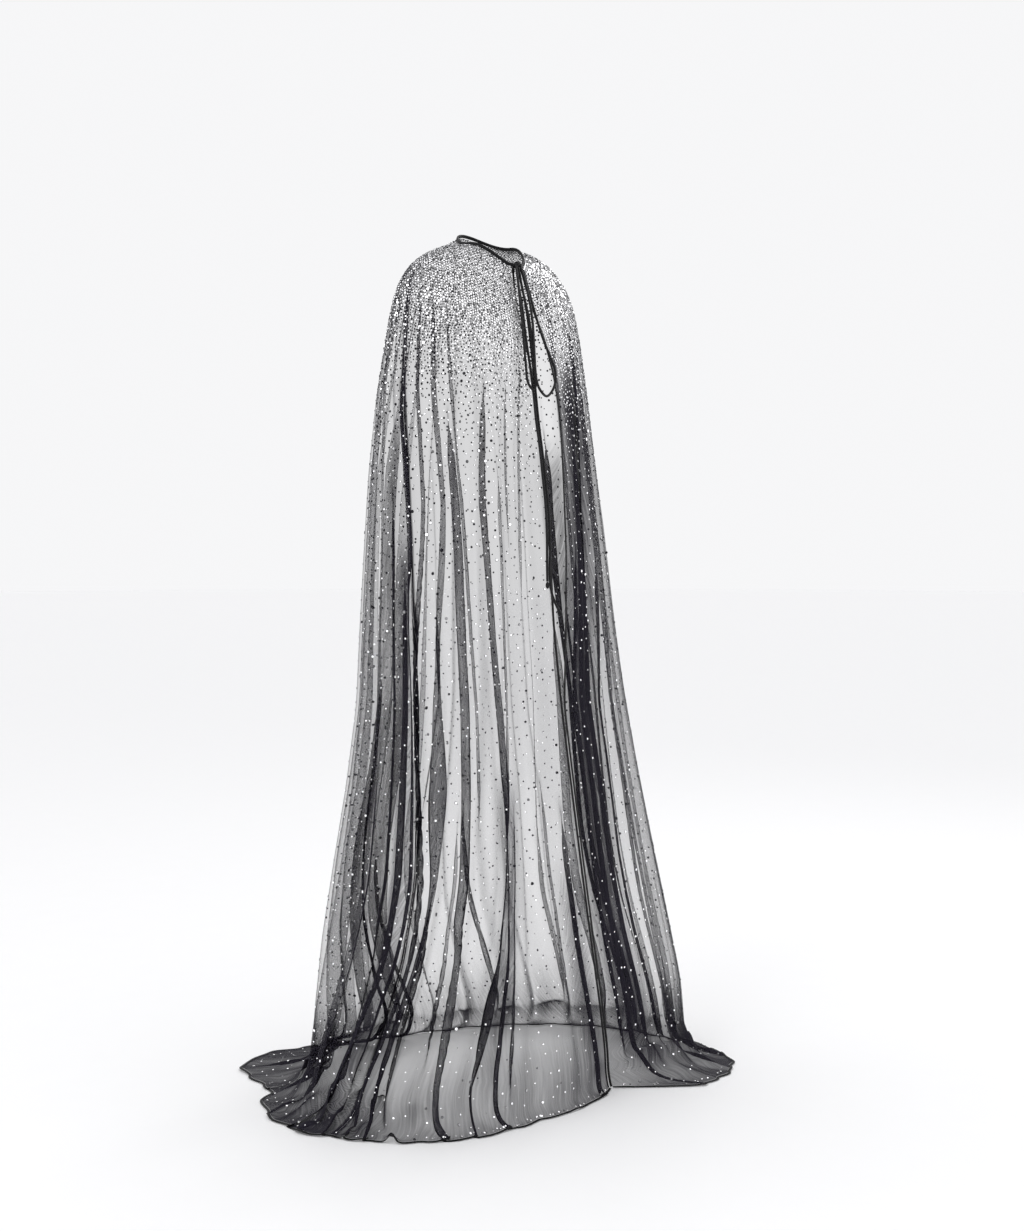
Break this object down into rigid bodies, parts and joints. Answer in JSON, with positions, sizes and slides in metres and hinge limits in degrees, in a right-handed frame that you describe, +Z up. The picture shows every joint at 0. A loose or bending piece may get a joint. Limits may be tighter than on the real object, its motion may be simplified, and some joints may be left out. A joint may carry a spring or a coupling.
{
  "type": "cloak",
  "caption": "Floor-length open-front cloak of sheer black net with stones dense over the shoulders, narrow bound edges and a long-tailed bow of thin cord at the neck.",
  "frame": {"origin": "middle of the neck ring, where the wearer's neck and shoulders hold the cloak, 1.5 m above the floor that its hem lies on", "axes": "+Z up, the front faces -Y, the wearer's left is +X"},
  "size_m": [0.87, 0.7745, 1.5383],
  "materials": {
    "net": "sheer black net",
    "binding": "black satin binding",
    "cord": "black satin cord"
  },
  "bodies": {
    "root": {"right_front": "net", "left_front": "net", "back_panel": "net", "neck_binding": "binding", "right_edge_binding": "binding", "left_edge_binding": "binding", "hem_binding": "binding", "tie_knot": "cord", "right_loop": "cord", "left_loop": "cord", "right_tie_end": "cord", "left_tie_end": "cord", "right_tie_tip": "cord", "left_tie_tip": "cord"}
  },
  "joints": []
}
